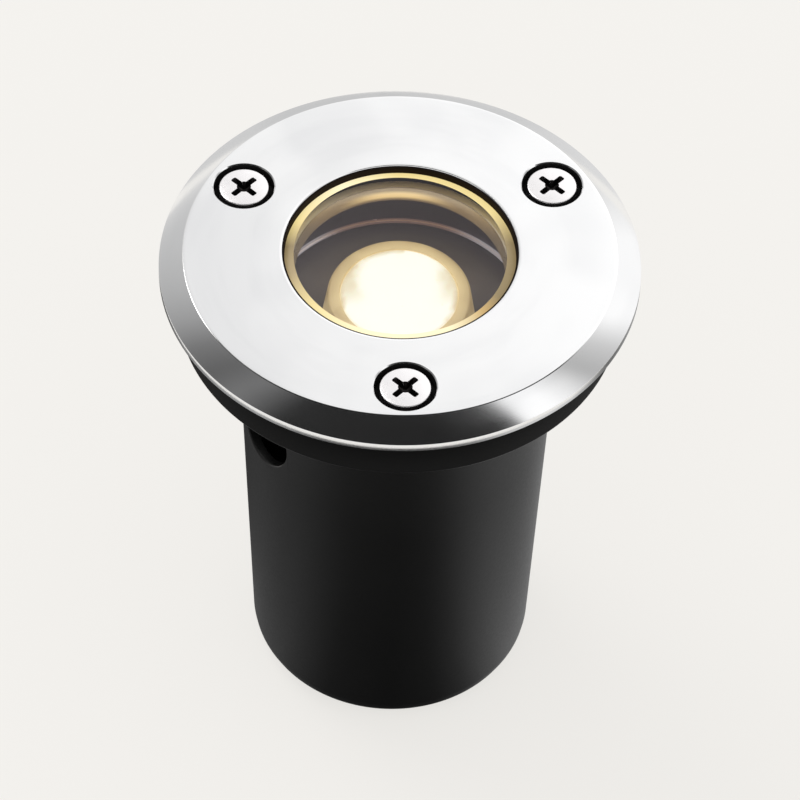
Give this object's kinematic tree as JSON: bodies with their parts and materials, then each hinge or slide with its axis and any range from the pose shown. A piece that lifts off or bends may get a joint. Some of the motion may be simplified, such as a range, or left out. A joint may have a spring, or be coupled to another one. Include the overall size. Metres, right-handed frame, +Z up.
{
  "type": "in-ground well light",
  "caption": "Round in-ground well light: a screwed steel trim ring and glass over a lamp, in a fixture that lifts out of a tapered mounting sleeve.",
  "frame": {"origin": "centre of the sleeve's flat base, on the surface it stands on", "axes": "+Z up along the light's axis, out of the lens; -Y towards one of the trim screws; +X to its right"},
  "size_m": [0.115, 0.115, 0.1389],
  "materials": {
    "black_plastic": "satin moulded polypropylene",
    "ring_steel": "fine spun stainless steel with a polished bevel",
    "screw_steel": "plain stainless steel",
    "clear_glass": "clear toughened glass with a ground bevel",
    "black_silicone": "matt silicone rubber",
    "frame_metal": "warm anodised aluminium",
    "cast_housing": "dark grey powder coat on a casting",
    "baffle_paint": "dark grey satin paint",
    "lamp_bezel_metal": "pale gold anodised aluminium",
    "lamp_shell_metal": "plain aluminium",
    "lamp_lens_clear": "glowing moulded lens",
    "board_white": "white solder mask",
    "emitter_yellow": "yellow phosphor",
    "lamp_base_ceramic": "bare ceramic",
    "socket_ceramic": "bare ceramic",
    "pin_metal": "tinned wire",
    "brass": "plain brass",
    "zinc_steel": "zinc plate",
    "white_plastic": "natural nylon",
    "gland_nylon": "black nylon",
    "seal_rubber": "soft sealing rubber"
  },
  "bodies": {
    "sleeve": {"mounting_sleeve": "black_plastic"},
    "fixture": {"housing": "cast_housing", "lens_frame": "frame_metal", "baffle_plate": "baffle_paint", "lamp_socket": "socket_ceramic", "socket_contacts": "brass", "socket_bracket": "zinc_steel", "bracket_screws": "zinc_steel", "terminal_block": "white_plastic", "terminal_tubes": "brass", "terminal_screws": "zinc_steel", "gland_body": "gland_nylon", "gland_washer": "black_silicone", "gland_locknut": "gland_nylon", "gland_seal": "seal_rubber", "gland_nut": "gland_nylon"},
    "cover": {"trim_ring": "ring_steel", "trim_screws": "screw_steel", "lens_glass": "clear_glass", "lens_gasket": "black_silicone"},
    "lamp": {"lamp_bezel": "lamp_bezel_metal", "lamp_lens": "lamp_lens_clear", "lamp_shell": "lamp_shell_metal", "led_board": "board_white", "led_emitter": "emitter_yellow", "lamp_base": "lamp_base_ceramic", "lamp_pins": "pin_metal"}
  },
  "joints": [
    {"name": "fixture_lift", "type": "slide", "parent": "sleeve", "child": "fixture", "axis": [0, 0, 1], "range_m": [0, 0.11]},
    {"name": "cover_lift", "type": "slide", "parent": "fixture", "child": "cover", "axis": [0, 0, 1], "range_m": [0, 0.03]},
    {"name": "lamp_pull", "type": "slide", "parent": "fixture", "child": "lamp", "axis": [0, 0, 1], "range_m": [0, 0.0085]}
  ]
}
